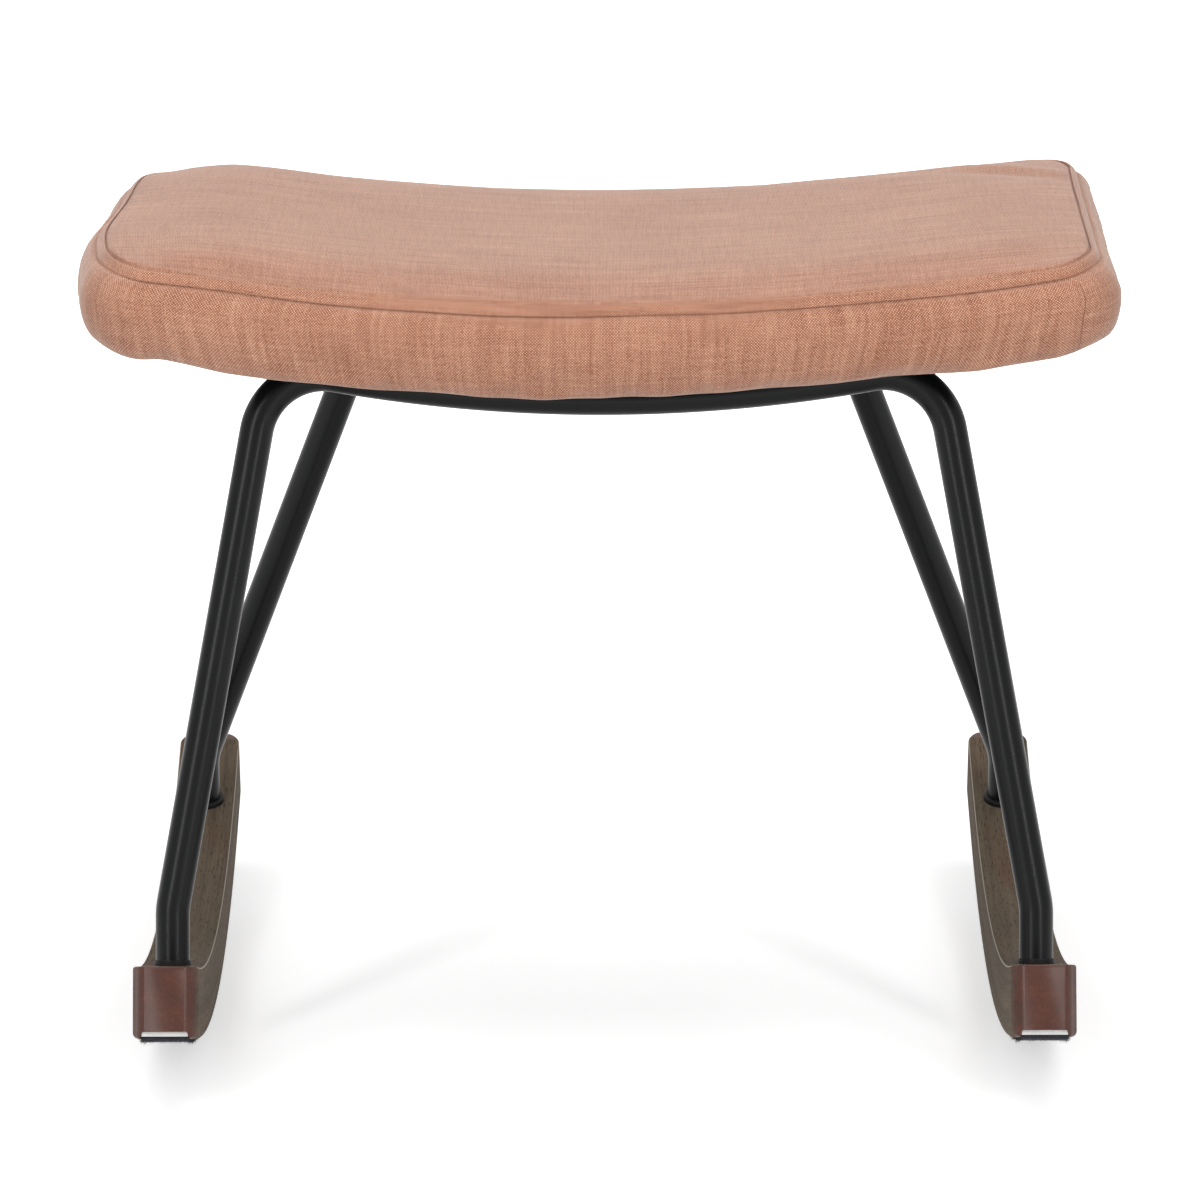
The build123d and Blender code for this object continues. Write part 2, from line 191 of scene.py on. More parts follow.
half = floor_size / 2
corners = [(-half, -half, 0), (half, -half, 0), (half, half, 0), (-half, half, 0)]
floor = added("studio_floor", mesh_of("studio_floor", corners, [(0, 1, 2, 3)]))
floor.data.materials.append(paper.owner)

scene.world = bpy.data.worlds.new("studio")
sky = Finish(scene.world, "ShaderNodeOutputWorld")
level = 0.30 + sky.seen_or_mirrored() * 0.70
sky.close(sky.add("ShaderNodeBackground", values={"Color": (1, 1, 1), "Strength": level}))

lamps = {
    "overhead": ((0.0, 0.3, 2.8), (0.0, 0.0, 0.3), (3.2, 2.6), 48.0),
    "front_left": ((-1.40, -2.1, 1.4), (0.0, 0.0, 0.25), (0.30, 2.2), 27.0),
    "front_right": ((1.25, -2.1, 1.4), (0.0, 0.0, 0.25), (0.30, 2.2), 24.0),
}
for name, (place, aim, size, power) in lamps.items():
    lamp = bpy.data.lights.new(name, "AREA")
    lamp.shape = "RECTANGLE"
    lamp.size, lamp.size_y = size
    lamp.energy = power
    holder = added(name, lamp)
    holder.location = place
    holder.rotation_euler = (Vector(aim) - Vector(place)).to_track_quat("-Z", "Y").to_euler()

camera = bpy.data.cameras.new("front_view")
camera.lens = lens_length
camera.sensor_width = 36.0
camera.clip_end = 100.0
viewer = added("front_view", camera)
viewer.location = camera_place
upright = Euler((pi / 2 - camera_pitch, 0, 0)).to_matrix()
viewer.rotation_euler = (upright @ Euler((0, 0, -camera_roll)).to_matrix()).to_euler()
scene.camera = viewer

# ---------------------------------------------------------------- rockers
# Two bars of solid wood, bent to an arc, stained walnut brown and lacquered satin. Their
# ends are rounded, the top edges only broken, and the sole is let in between two lips.
arc_height = 0.734
rocker_top_radius = 0.695
rocker_bottom_radius = 0.729
rocker_x = 0.228
rocker_chord = 0.465
rocker_half_width = 0.017
end_rounding = 0.010
top_edge = 0.0012
lip = 0.0034
lip_round = 0.0032
groove_half_width = 0.0125
half_length = asin(rocker_chord / 2 / rocker_top_radius) * rocker_top_radius
hands = {"left": -1, "right": 1}
sides = {"front": -1, "rear": 1}


def finished(name, mesh, sharp=40):
    """An object of a mesh, its faces pointing outwards and smooth up to an angle."""
    work = bmesh.new()
    work.from_mesh(mesh)
    bmesh.ops.remove_doubles(work, verts=work.verts, dist=1e-7)
    bmesh.ops.recalc_face_normals(work, faces=work.faces)
    work.to_mesh(mesh)
    work.free()
    mesh.shade_smooth()
    mesh.set_sharp_from_angle(angle=radians(sharp))
    return added(name, mesh)


def skin(name, rings, closed=False, sharp=40, wide=None):
    """A surface through rings of as many points each, its two ends closed.

    Its UV map runs round the rings and along them, in metres."""
    count = len(rings[0])
    turns = len(rings) if closed else len(rings) - 1
    faces = []
    for i in range(turns):
        a, b = i * count, (i + 1) % len(rings) * count
        faces += [(a + j, a + (j + 1) % count, b + (j + 1) % count, b + j) for j in range(count)]
    if not closed:
        faces.append(tuple(reversed(range(count))))
        faces.append(tuple(range((len(rings) - 1) * count, len(rings) * count)))
    mesh = mesh_of(name, [tuple(point) for ring in rings for point in ring], faces)
    if wide:
        points = np.array(rings)
        run = np.linalg.norm(np.roll(points, -1, axis=0) - points, axis=2).mean(axis=1)
        along = np.concatenate([[0], np.cumsum(run)])
        layer = mesh.uv_layers.new(name="weave")
        corner = 0
        for i in range(turns):
            for j in range(count):
                for dj, di in ((0, 0), (1, 0), (1, 1), (0, 1)):
                    layer.data[corner].uv = ((j + dj) / count * wide, 5.0 + along[i + di])
                    corner += 1
    return finished(name, mesh, sharp)


def settle(piece, slot, finish, *stands_for):
    """Fixes a piece to the stool and gives it its finish."""
    piece.data.materials.clear()
    piece.data.materials.append(finish)
    if stands_for:
        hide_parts(*stands_for)
    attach(piece, "root")
    return piece


def dress(finish, *names):
    """Gives pieces of the frame their finish as they are."""
    for name in names:
        for holder in nodes[name].material_slots:
            holder.material = finish


def rounded(distance, radius):
    """How far a rounded end draws in at a distance from the end."""
    return 0.0 if distance >= radius else radius - sqrt(radius**2 - (radius - distance) ** 2)


def bar_ring(along, x, half_width, top, bottom, top_round, bottom_round, groove=None):
    """A square section with rounded corners, square to the arc, and a groove below."""
    angle = along / rocker_top_radius
    ring = []
    for corner in range(4):
        side, upper = 1 if corner < 2 else -1, corner in (0, 3)
        round_here = top_round if upper else bottom_round
        middle = top + round_here if upper else bottom - round_here
        for i in range(7):
            turn = i / 6 * pi / 2
            across, down = (
                (sin(turn), -cos(turn)),
                (cos(turn), sin(turn)),
                (-sin(turn), cos(turn)),
                (-cos(turn), -sin(turn)),
            )[corner]
            width = side * (half_width - round_here) + across * round_here
            ring.append((width, middle + down * round_here))
        if groove and corner == 1:
            reach, roof = groove
            ring += [(reach, bottom), (reach, roof), (-reach, roof), (-reach, bottom)]
    return [(x + width, depth * sin(angle), arc_height - depth * cos(angle)) for width, depth in ring]


def wood_finish():
    """Long figure and short dark pores that follow the bend, under a satin lacquer, with a painted
    highlight along the top edges.
    """
    finish, place = new_finish("walnut_stained_wood")
    x, y, z = finish.parts(place)
    up = arc_height - z
    along = y.sum("ARCTAN2", y, up) * rocker_bottom_radius
    deep = up.sum("SQRT", y * y + up * up)
    warp = finish.noise(finish.vector(x * 8, along * 5, deep * 8)) * 0.022
    figure = finish.noise(finish.vector((x + warp) * 90, along * 3.4, (deep + warp) * 110), 1.0, 5.0, 0.6)
    streak = finish.noise(finish.vector(x * 620, along * 11.0, deep * 620), 1.0, 3.0, 0.55)
    pores = finish.noise(finish.vector(x * 1900, along * 150, deep * 1900), 1.0, 1.0, 0.4)
    cloud = finish.noise(place, 11.0)
    tone = figure * 0.5 + streak * 0.34 + cloud * 0.16
    colour = finish.ramp(
        tone,
        (0.32, (0.050, 0.037, 0.025)),
        (0.46, (0.089, 0.066, 0.044)),
        (0.58, (0.131, 0.099, 0.067)),
        (0.74, (0.185, 0.144, 0.101)),
    )
    blush = finish.noise(finish.vector(x * 40, along * 7, deep * 40), 1.0, 3.0)
    colour = finish.mix(finish.step(blush, 0.52, 0.74) * 0.5, colour, (0.105, 0.048, 0.030))
    half_bottom = half_length * rocker_bottom_radius / rocker_top_radius
    end = finish.step(abs(along), half_bottom - 0.0085, half_bottom - 0.0030)
    reddish = finish.ramp(
        tone,
        (0.34, (0.047, 0.011, 0.004)),
        (0.52, (0.070, 0.017, 0.007)),
        (0.70, (0.100, 0.030, 0.013)),
    )
    colour = finish.mix(end, colour, reddish)
    pore = finish.step(pores, 0.61, 0.68) * (1 - end * 0.85)
    colour = finish.mix(pore * 0.55, colour, (0.018, 0.012, 0.009))
    across = abs(abs(x) - rocker_x)
    # A pale line along the top edges of the sides, away from the ends, is painted highlight where the light
    # catches the edge.
    painted_edge_highlight = finish.step(across, 0.0163, 0.0169) * finish.step(deep, 0.6960, 0.6954) * (1 - end)
    colour = finish.mix(painted_edge_highlight, colour, (0.58, 0.53, 0.46))
    rough = 0.76 + streak * 0.12 + pore * 0.1 - end * 0.50
    arch = across * across * end * -8.0
    grain = finish.bump(streak * 0.00002 - pore * 0.00005 + arch, 1.0)
    return finish.surface(
        Base_Color=colour, Roughness=rough, Normal=grain, Specular_IOR_Level=0.2,
        Coat_Weight=end * 0.45, Coat_Roughness=0.28,
    )


wood = wood_finish()
for hand, way in hands.items():
    near_end = [end_rounding * (1 - cos(pi / 2 * i / 12)) for i in range(13)]
    near_end = sorted(near_end + [0.0004, 0.0008])
    straight = half_length - end_rounding
    places = [d - half_length for d in near_end]
    places += list(np.linspace(-half_length + end_rounding, straight, 121)[1:-1])
    places += [half_length - d for d in reversed(near_end)]
    rings = []
    for place in places:
        to_end = half_length - abs(place)
        half_width = rocker_half_width - rounded(to_end + 0.0006, end_rounding)
        spare = half_width - groove_half_width
        lip_here = lip * min(max(spare / 0.0008, 0.0), 1.0)
        rings.append(bar_ring(
            place, way * rocker_x, half_width, rocker_top_radius + rounded(to_end, top_edge),
            rocker_bottom_radius + lip_here, top_edge, max(min(lip_round, spare * 0.7, lip_here), 0.0005),
            (min(groove_half_width, half_width - 0.0006), rocker_bottom_radius - 0.00002),
        ))
    settle(skin(f"{hand}_rocker_bar", rings), "rocker_wood", wood, f"{hand}_rocker")

# ---------------------------------------------------------------- soles
# Under each rocker, a strip of white adhesive foam that carries a strip of thick needled
# felt, dark navy, cut with scissors so that loose fibres stand out of its edges.
sole_half_width = 0.012
backing_bottom_radius = 0.7314
felt_bottom_radius = 0.734
felt_setback = 0.004          # from the rocker's end, along its bottom
felt_half_angle = asin(rocker_chord / 2 / rocker_top_radius) - felt_setback / rocker_bottom_radius
felt_half_length = felt_half_angle * rocker_top_radius
fibre_count = 5200
fibre_length = 0.0026
fibre_thickness = 0.00009
edge_tear = 0.00026           # of the cut edges, from their line


def backing_finish():
    """Closed-cell foam tape, white, with fine pits."""
    finish, place = new_finish("white_foam_tape")
    cells = finish.add("ShaderNodeTexVoronoi", values={"Vector": place, "Scale": 2400.0})
    soil = finish.noise(place, 120.0, 3.0)
    tone = soil * 0.6 + cells * 0.4
    colour = finish.ramp(tone, (0.2, (0.56, 0.56, 0.55)), (0.7, (0.80, 0.80, 0.79)))
    normal = finish.bump(cells, 0.0002, 0.4)
    return finish.surface(Base_Color=colour, Roughness=0.7, Normal=normal)


def felt_finish():
    """Matted fibres in several dark blues, with a few pale ones."""
    finish, place = new_finish("navy_needled_felt")
    mat = finish.noise(place, 900.0, 4.0, 0.7, 1.2)
    clump = finish.noise(place, 160.0, 3.0)
    tone = mat * 0.65 + clump * 0.35
    colour = finish.ramp(
        tone,
        (0.3, (0.006, 0.007, 0.011)),
        (0.55, (0.018, 0.021, 0.031)),
        (0.75, (0.050, 0.055, 0.070)),
    )
    normal = finish.bump(tone, 0.0006, 0.9)
    return finish.surface(Base_Color=colour, Roughness=0.95, Normal=normal, Sheen_Weight=0.25)


def meshed(holder):
    """Turns what a holder's node modifier makes into its plain mesh."""
    graph = bpy.context.evaluated_depsgraph_get()
    made = bpy.data.meshes.new_from_object(holder.evaluated_get(graph))
    holder.modifiers.clear()
    holder.data = made
    return holder


def set_inputs(modifier, **values):
    """Sets a node modifier's inputs by the names that its tree gives them."""
    for item in modifier.node_group.interface.items_tree:
        if item.item_type == "SOCKET" and item.in_out == "INPUT" and item.name in values:
            modifier[item.identifier] = values[item.name]


def linked(tree, kind, settings=None, **inputs):
    """Adds a geometry node; its inputs are values or other nodes' outputs."""
    node = tree.nodes.new(kind)
    for name, setting in (settings or {}).items():
        setattr(node, name, setting)
    for name, value in inputs.items():
        socket = node.inputs[name.replace("_", " ")]
        if isinstance(value, bpy.types.NodeSocket):
            tree.links.new(value, socket)
        else:
            socket.default_value = value
    return node


def new_tree(name, **inputs):
    """A geometry node tree with named inputs, and the sockets that give their values."""
    tree = bpy.data.node_groups.new(name, "GeometryNodeTree")
    for label, kind in {"Geometry": "Geometry", **inputs}.items():
        tree.interface.new_socket(label, in_out="INPUT", socket_type="NodeSocket" + kind)
    tree.interface.new_socket("Geometry", in_out="OUTPUT", socket_type="NodeSocketGeometry")
    return tree, tree.nodes.new("NodeGroupInput").outputs


def turned_by_chance(tree, rotation, least, most, seed):
    """A rotation, turned further by chance about its own axes."""
    vector = {"data_type": "FLOAT_VECTOR"}
    chance = linked(tree, "FunctionNodeRandomValue", vector, Min=least, Max=most, Seed=seed)
    local = {"rotation_type": "EULER", "space": "LOCAL"}
    turned = linked(
        tree, "FunctionNodeRotateEuler", local, Rotation=rotation, Rotate_By=chance.outputs["Value"]
    )
    return turned.outputs["Rotation"]


def strewn(tree, finish, **placing):
    """Ends a tree: real copies of a mesh at points, in their material."""
    placed = linked(tree, "GeometryNodeInstanceOnPoints", **placing)
    real = linked(tree, "GeometryNodeRealizeInstances", Geometry=placed.outputs["Instances"])
    coat = linked(
        tree, "GeometryNodeSetMaterial", Geometry=real.outputs["Geometry"], Material=finish
    )
    linked(tree, "NodeGroupOutput", Geometry=coat.outputs["Geometry"])
    return tree


def fibre_tree(finish):
    """Short fibres, tilted by chance, that stand out of the faces of a mesh."""
    tree, given = new_tree("loose_fibres", Density="Float", Length="Float", Thickness="Float")
    spread = linked(
        tree, "GeometryNodeDistributePointsOnFaces",
        Mesh=given["Geometry"], Density=given["Density"], Seed=7,
    )
    fibre = linked(
        tree, "GeometryNodeMeshCone", {"fill_type": "NONE"}, Vertices=3, Radius_Top=0.00002,
        Radius_Bottom=given["Thickness"], Depth=given["Length"],
    )
    turned = turned_by_chance(tree, spread.outputs["Rotation"], (-0.9, -0.9, 0.0), (0.9, 0.9, 6.3), 11)
    size = linked(tree, "FunctionNodeRandomValue", {"data_type": "FLOAT"}, Seed=23)
    size.inputs[2].default_value = 0.35
    size.inputs[3].default_value = 1.0
    return strewn(
        tree, finish, Points=spread.outputs["Points"], Instance=fibre.outputs["Mesh"],
        Rotation=turned, Scale=size.outputs[1],
    )


tape = backing_finish()
felt = felt_finish()
fibres_of = fibre_tree(felt)
dress(tape, "left_sole_backing", "right_sole_backing")
tearing = np.random.default_rng(5)
for hand, way in hands.items():
    rings = []
    steps = np.linspace(-felt_half_length, felt_half_length, 380)
    rough_edge = tearing.normal(0, edge_tear, (len(steps), 20))
    for i, place in enumerate(steps):
        to_end = felt_half_length - abs(place)
        ring = bar_ring(
            place, way * rocker_x, sole_half_width - rounded(to_end, 0.0008),
            backing_bottom_radius, felt_bottom_radius - rounded(to_end, 0.0006), 0.0002, 0.0008,
        )
        shift = np.zeros((28, 3))
        shift[3:25, 0] = np.interp(np.arange(22), np.arange(20) * 1.1, rough_edge[i])
        shift[7:14, 2] = np.abs(rough_edge[i][:7]) * 0.4
        shift[14:21, 2] = np.abs(rough_edge[i][7:14]) * 0.4
        rings.append(np.array(ring) + shift)
    sole = skin(f"{hand}_felt", rings, sharp=70)
    settle(sole, "sole_felt", felt, f"{hand}_felt_sole")
    fringe = added(f"{hand}_felt_fringe", sole.data.copy())
    work = bmesh.new()
    work.from_mesh(fringe.data)
    under = [f for f in work.faces if f.normal.z < -0.85 or f.normal.z > 0.5]
    bmesh.ops.delete(work, geom=under, context="FACES")
    work.to_mesh(fringe.data)
    work.free()
    grower = fringe.modifiers.new("fibres", "NODES")
    grower.node_group = fibres_of
    edge_area = 4 * felt_half_length * (felt_bottom_radius - backing_bottom_radius)
    density = fibre_count / edge_area
    set_inputs(grower, Density=density, Length=fibre_length, Thickness=fibre_thickness)
    meshed(fringe)
    for point in fringe.data.vertices:
        point.co.z = max(point.co.z, 0.0)
    settle(fringe, "sole_felt", felt)

# ---------------------------------------------------------------- hoops
# Two hoops of round steel tube, 18 mm across, each bent in one flat plane: a foot that
# stands square on the rocker, a splayed leg, a tight corner and a long dished crossbar.
# They are powder coated black, satin, with the fine orange peel that such a coat has.
tube_radius = 0.009
hoop_angle = radians(13.5)
foot_rise = 0.030
foot_bend_radius = 0.045
corner_bend_radius = 0.036
crossbar_rise = 0.299
crossbar_dish_radius = 0.820
collar_thickness = 0.003
leg_splay = {"front": radians(10.1), "rear": radians(19.8)}


def hoop_line(side):
    """Points of the middle line in the hoop's plane, from the right foot to the left."""
    splay = leg_splay[side]
    up_leg = np.array((-sin(splay), cos(splay)))
    inwards = np.array((-cos(splay), -sin(splay)))
    knee = np.array((rocker_x, foot_rise))
    run = foot_bend_radius * tan(splay / 2)
    dish_centre = np.array((0, crossbar_rise + crossbar_dish_radius))
    reach = crossbar_dish_radius + corner_bend_radius
    to_line = knee + inwards * corner_bend_radius - dish_centre
    rise = -to_line @ up_leg - sqrt((to_line @ up_leg) ** 2 - to_line @ to_line + reach**2)
    corner = knee + inwards * corner_bend_radius + up_leg * rise
    to_dish = (dish_centre - corner) / np.linalg.norm(dish_centre - corner)
    points = [(rocker_x, h) for h in np.linspace(collar_thickness - 0.0006, foot_rise - run, 6)]
    for t in np.linspace(0, splay, 10)[1:]:
        across = rocker_x - foot_bend_radius * (1 - cos(t))
        points.append((across, foot_rise - run + foot_bend_radius * sin(t)))
    points += [tuple(knee + up_leg * h) for h in np.linspace(run, rise, 34)[1:]]
    last = atan2(to_dish[1], to_dish[0])
    for t in np.linspace(splay, last, 26)[1:]:
        points.append(tuple(corner + corner_bend_radius * np.array((cos(t), sin(t)))))
    bar_end = corner + corner_bend_radius * to_dish
    half_arc = asin(bar_end[0] / crossbar_dish_radius)
    for t in np.linspace(half_arc, 0, 31)[1:]:
        points.append((crossbar_dish_radius * sin(t), dish_centre[1] - crossbar_dish_radius * cos(t)))
    return points + [(-x, h) for x, h in reversed(points[:-1])]


def powder_finish():
    """Satin black powder coat with fine orange peel and a little dust."""
    finish, place = new_finish("black_powder_coat")
    peel = finish.noise(place, 850.0, 2.0, 0.6)
    cloud = finish.noise(place, 14.0, 3.0)
    tone = cloud * 0.6 + peel * 0.4
    colour = finish.ramp(tone, (0.3, (0.0024, 0.0026, 0.0028)), (0.7, (0.0046, 0.0050, 0.0054)))
    rough = 0.25 + peel * 0.06 + cloud * 0.04
    normal = finish.bump(peel, 0.00004, 0.3)
    return finish.surface(Base_Color=colour, Roughness=rough, Normal=normal, Specular_IOR_Level=0.17)


powder = powder_finish()
for side, way in sides.items():
    line = np.array(hoop_line(side))
    down = rocker_top_radius - line[:, 1]
    height = arc_height - down * cos(hoop_angle)
    spine = np.column_stack((line[:, 0], way * down * sin(hoop_angle), height))
    square = np.array((0, -cos(hoop_angle), -way * sin(hoop_angle)))
    heading = np.gradient(spine, axis=0)
    heading /= np.linalg.norm(heading, axis=1)[:, None]
    heading[0], heading[-1] = heading[1], heading[-2]
    outwards = np.cross(heading, square)
    turns = np.linspace(0, 2 * pi, 41)[:-1]
    rings = [
        point + tube_radius * (np.outer(np.cos(turns), out) + np.outer(np.sin(turns), square))
        for point, out in zip(spine, outwards)
    ]
    settle(skin(f"{side}_hoop_tube", rings), "black_powder_coat", powder, f"{side}_hoop")

# ---------------------------------------------------------------- collars and foot joints
# A ring of dark nylon seats each tube end on its rocker. A zinc-plated bolt and washer
# come up through the rocker into a threaded plug that is welded inside the foot.
def nylon_finish():
    """Moulded black nylon with a fine spark-eroded grain."""
    finish, place = new_finish("black_nylon")
    grain = finish.noise(place, 2600.0, 2.0)
    cloud = finish.noise(place, 200.0, 2.0)
    colour = finish.ramp(cloud, (0.3, (0.007, 0.007, 0.007)), (0.7, (0.014, 0.014, 0.014)))
    rough = 0.42 + grain * 0.15
    normal = finish.bump(grain, 0.00006, 0.4)
    return finish.surface(Base_Color=colour, Roughness=rough, Normal=normal, Specular_IOR_Level=0.12)


def zinc_finish():
    """Bright zinc plate, a little cloudy, with fine turning marks."""
    finish, place = new_finish("zinc_plate")
    spangle = finish.noise(place, 420.0, 4.0, 0.6)
    fine = finish.noise(place, 3200.0, 2.0)
    colour = finish.ramp(spangle, (0.3, (0.48, 0.49, 0.50)), (0.7, (0.66, 0.67, 0.68)))
    rough = 0.26 + spangle * 0.18
    normal = finish.bump(fine, 0.00003, 0.4)
    return finish.surface(Base_Color=colour, Metallic=1.0, Roughness=rough, Normal=normal)


nylon = nylon_finish()
zinc = zinc_finish()
dress(nylon, *[f"{side}_{hand}_collar" for side in sides for hand in hands])
dress(zinc, "foot_bolts", "foot_washers", "foot_inserts")

# ---------------------------------------------------------------- seat tabs and screws
# Four steel plates lie under the seat, welded along both sides of the crossbars and
# coated with them. A machine screw goes up through each into a tee nut in the board.
tab_x = 0.080
tab_width = 0.030
bead_radius = 0.0017
bead_steps = 88               # four to each ripple

dress(powder, *[f"{side}_{hand}_seat_tab" for side in sides for hand in hands])
dress(zinc, "seat_screws", "tee_nuts")


def crossbar_point(x, way):
    """A point of a crossbar's middle line."""
    down = rocker_top_radius - crossbar_rise - crossbar_dish_radius
    down += sqrt(crossbar_dish_radius**2 - x**2)
    return Vector((x, way * down * sin(hoop_angle), arc_height - down * cos(hoop_angle)))


for side, way in sides.items():
    for hand, hand_way in hands.items():
        for edge, flank in (("inner", -1), ("outer", 1)):
            rings = []
            for i in range(bead_steps + 1):
                x = hand_way * tab_x + (i / bead_steps - 0.5) * (tab_width - 0.002)
                lean = asin(x / crossbar_dish_radius)
                up = Vector((-sin(lean), 0, cos(lean)))
                middle = crossbar_point(x, way) + up * 0.0086 + Vector((0, flank * 0.0034, 0))
                swell = 0.88 + 0.12 * cos(i * pi / 2)
                end = min(i, bead_steps - i) / 3
                radius = bead_radius * swell * (min(1.0, sqrt(end)) if end > 0 else 0.25)
                turns = np.linspace(0, 2 * pi, 13)[:-1]
                rings.append([
                    tuple(middle + Vector((0, cos(t), 0)) * radius * 1.25 + up * sin(t) * radius)
                    for t in turns
                ])
            bead = skin(f"{side}_{hand}_{edge}_weld_bead", rings)
            settle(bead, "black_powder_coat", powder)

# ---------------------------------------------------------------- seat board
# Beech plywood, pressed to the seat's dish. It is hidden, but its finish shows the bare
# veneer on the faces and the dark glue lines on the edges.
seat_axis_height = 1.61381
seat_dish_radius = 1.250
ply = 0.0015


def plywood_finish():
    """Rotary-cut veneer with glue lines between the plies."""
    finish, place = new_finish("beech_plywood")
    x, y, z = finish.parts(place)
    up = seat_axis_height - z
    level = (seat_dish_radius - up.sum("SQRT", x * x + up * up)) * (2 * pi / ply)
    glue = finish.step(level.sum("SINE", level), 0.75, 0.95)
    figure = finish.noise(finish.vector(x * 6, y * 60, z * 60), 1.0, 4.0, 0.6)
    fleck = finish.noise(finish.vector(x * 120, y * 900, z * 900))
    tone = figure * 0.7 + fleck * 0.3
    colour = finish.ramp(tone, (0.3, (0.42, 0.27, 0.15)), (0.7, (0.62, 0.44, 0.27)))
    colour = finish.mix(glue * 0.6, colour, (0.13, 0.07, 0.04))
    return finish.surface(Base_Color=colour, Roughness=0.6, Normal=finish.bump(fleck, 0.0001, 0.4))


dress(plywood_finish(), "seat_board")

# ---------------------------------------------------------------- cushion
# A foam block wrapped in fibre wadding, in a loose-woven terracotta cover of a crowned
# top panel and a boxing, pulled down over the board and stapled under it. The fabric is
# simulated as cloth that the filling presses out between its seams and the board's edge.
seat_half_width = 0.269
seat_half_depth = 0.171
seat_corner_radius = 0.032
underside_inset = 0.013
seam_axis_height = 1.85781
seam_dish_radius = 1.450
peak = 0.0090                 # of the top above the seam, before the filling swells it
end_run = 0.115               # over which the top rises from its ends
side_run = 0.100
grid_x, grid_y = 104, 64


def seam_level(x):
    """The seam's height above the underside, towards the underside's axis."""
    height = seam_axis_height - np.sqrt(seam_dish_radius**2 - x**2)
    return seat_dish_radius - np.hypot(x, seat_axis_height - height)


def on_seat(x, y, level):
    """The point over a place of the plan, at a level above the underside."""
    return np.stack((x, y, seat_axis_height - np.sqrt((seat_dish_radius - level) ** 2 - x**2)), axis=-1)


def stations():
    """Round the outline from the front left corner's middle: corner centre's share, normal.

    The corners' middles fall on the corners of the grid."""
    found = []
    c = seat_corner_radius
    long_side, short_side = (grid_x, seat_half_width), (grid_y, seat_half_depth)
    for side, (count, run) in enumerate((long_side, short_side) * 2):
        straight = 2 * (run - c)
        total = straight + c * pi / 2
        for i in range(count):
            s = i / count * total - c * pi / 4
            if s < 0:
                share, turn = -1.0, s / c
            elif s > straight:
                share, turn = 1.0, (s - straight) / c
            else:
                share, turn = 2 * s / straight - 1, 0.0
            heading = side * pi / 2
            way = np.array((cos(heading), sin(heading)))
            out = np.array((sin(heading + turn), -cos(heading + turn)))
            corner = {0: (share, -1), 1: (1, share), 2: (-share, 1), 3: (-1, -share)}[side]
            found.append((*corner, *out))
    return np.array(found)


station = stations()
count = len(station)


def outline(inset, corner=None):
    """The plan of the outline drawn in by an inset, at all stations."""
    corner = np.broadcast_to(seat_corner_radius - inset / 2 if corner is None else corner, 2)
    centre = np.array((seat_half_width, seat_half_depth)) - inset - corner
    return station[:, :2] * centre + station[:, 2:] * corner


def evened(grid, rounds):
    """Moves each inner point of a grid to the mean of its neighbours, again and again."""
    for _ in range(rounds):
        grid[1:-1, 1:-1] = (grid[2:, 1:-1] + grid[:-2, 1:-1] + grid[1:-1, 2:] + grid[1:-1, :-2]) / 4
    return grid


def grid_inside(edge):
    """A grid of the plan whose rim is an outline's stations, evened out inside."""
    grid = np.zeros((grid_x + 1, grid_y + 1, 2))
    a, b, c = grid_x, grid_x + grid_y, 2 * grid_x + grid_y
    ring = np.vstack((edge, edge[:1]))
    grid[:, 0] = ring[: a + 1]
    grid[-1, :] = ring[a : b + 1]
    grid[:, -1] = ring[b : c + 1][::-1]
    grid[0, :] = ring[c:][::-1]
    u = np.linspace(0, 1, grid_x + 1)[:, None, None]
    v = np.linspace(0, 1, grid_y + 1)[None, :, None]
    inside = (1 - u) * grid[:1] + u * grid[-1:] + (1 - v) * grid[:, :1] + v * grid[:, -1:]
    inside -= (
        (1 - u) * (1 - v) * grid[0, 0] + u * v * grid[-1, -1]
        + u * (1 - v) * grid[-1, 0] + (1 - u) * v * grid[0, -1]
    )
    grid[1:-1, 1:-1] = inside[1:-1, 1:-1]
    return evened(grid, 80)


def rim_of(grid):
    """The numbers of a grid's points that are on its rim, in the stations' order."""
    n = np.arange((grid_x + 1) * (grid_y + 1)).reshape(grid_x + 1, grid_y + 1)
    return np.concatenate((n[:-1, 0], n[-1, :-1], n[1:, -1][::-1], n[0, 1:][::-1]))


def from_rim(plan, inset, corner):
    """How far points of the plan lie inside a rounded outline."""
    half = np.array((seat_half_width, seat_half_depth)) - inset - corner
    past = np.abs(plan) - half
    outside = np.linalg.norm(np.maximum(past, 0), axis=-1)
    return corner - outside - np.minimum(np.maximum(past[..., 0], past[..., 1]), 0)


# Rows up the side: how far they are drawn in, their height as a share of the seam's, their
# height above that, and their corner. The last ones make the bed of the welt between its
# two seams, whose corners are drawn out along the ends.
lower_corner, upper_corner = np.array((0.024, 0.036)), np.array((0.022, 0.046))
bed = [
    (0.0100, -0.0016), (0.0111, -0.0004), (0.0121, 0.0010),
    (0.0134, 0.0026), (0.0147, 0.0039), (0.0155, 0.0045),
]
top_inset, top_start = 0.0153, 0.0056
side_rows = [(0.0152, 0, 0.0001, None), (0.0138, 0, 0.0009, None)]
for share in np.linspace(0.04, 0.955, 12):
    inset = 0.013 - 0.049 * share + 0.046 * share**2
    drawn = max(share - 0.4, 0) / 0.6
    corner = (1 - drawn) * (seat_corner_radius - inset / 2) + drawn * lower_corner
    side_rows.append((inset, share, 0, corner))
for i, (inset, above) in enumerate(bed):
    corner = lower_corner + (upper_corner - lower_corner) * i / len(bed)
    side_rows.append((inset, 1, above, corner))


def wander(seed, reach, size):
    """A smooth unevenness round the seam, at all stations."""
    window = np.hanning(reach + 2)
    chance = np.tile(np.random.default_rng(seed).normal(0, 1, count), 3)
    return size * np.convolve(chance, window / np.linalg.norm(window), "same")[count : 2 * count]


seam_wander = wander(8, 19, 0.00038)
top_plan = grid_inside(outline(top_inset, upper_corner))
base_plan = grid_inside(outline(0.0175))


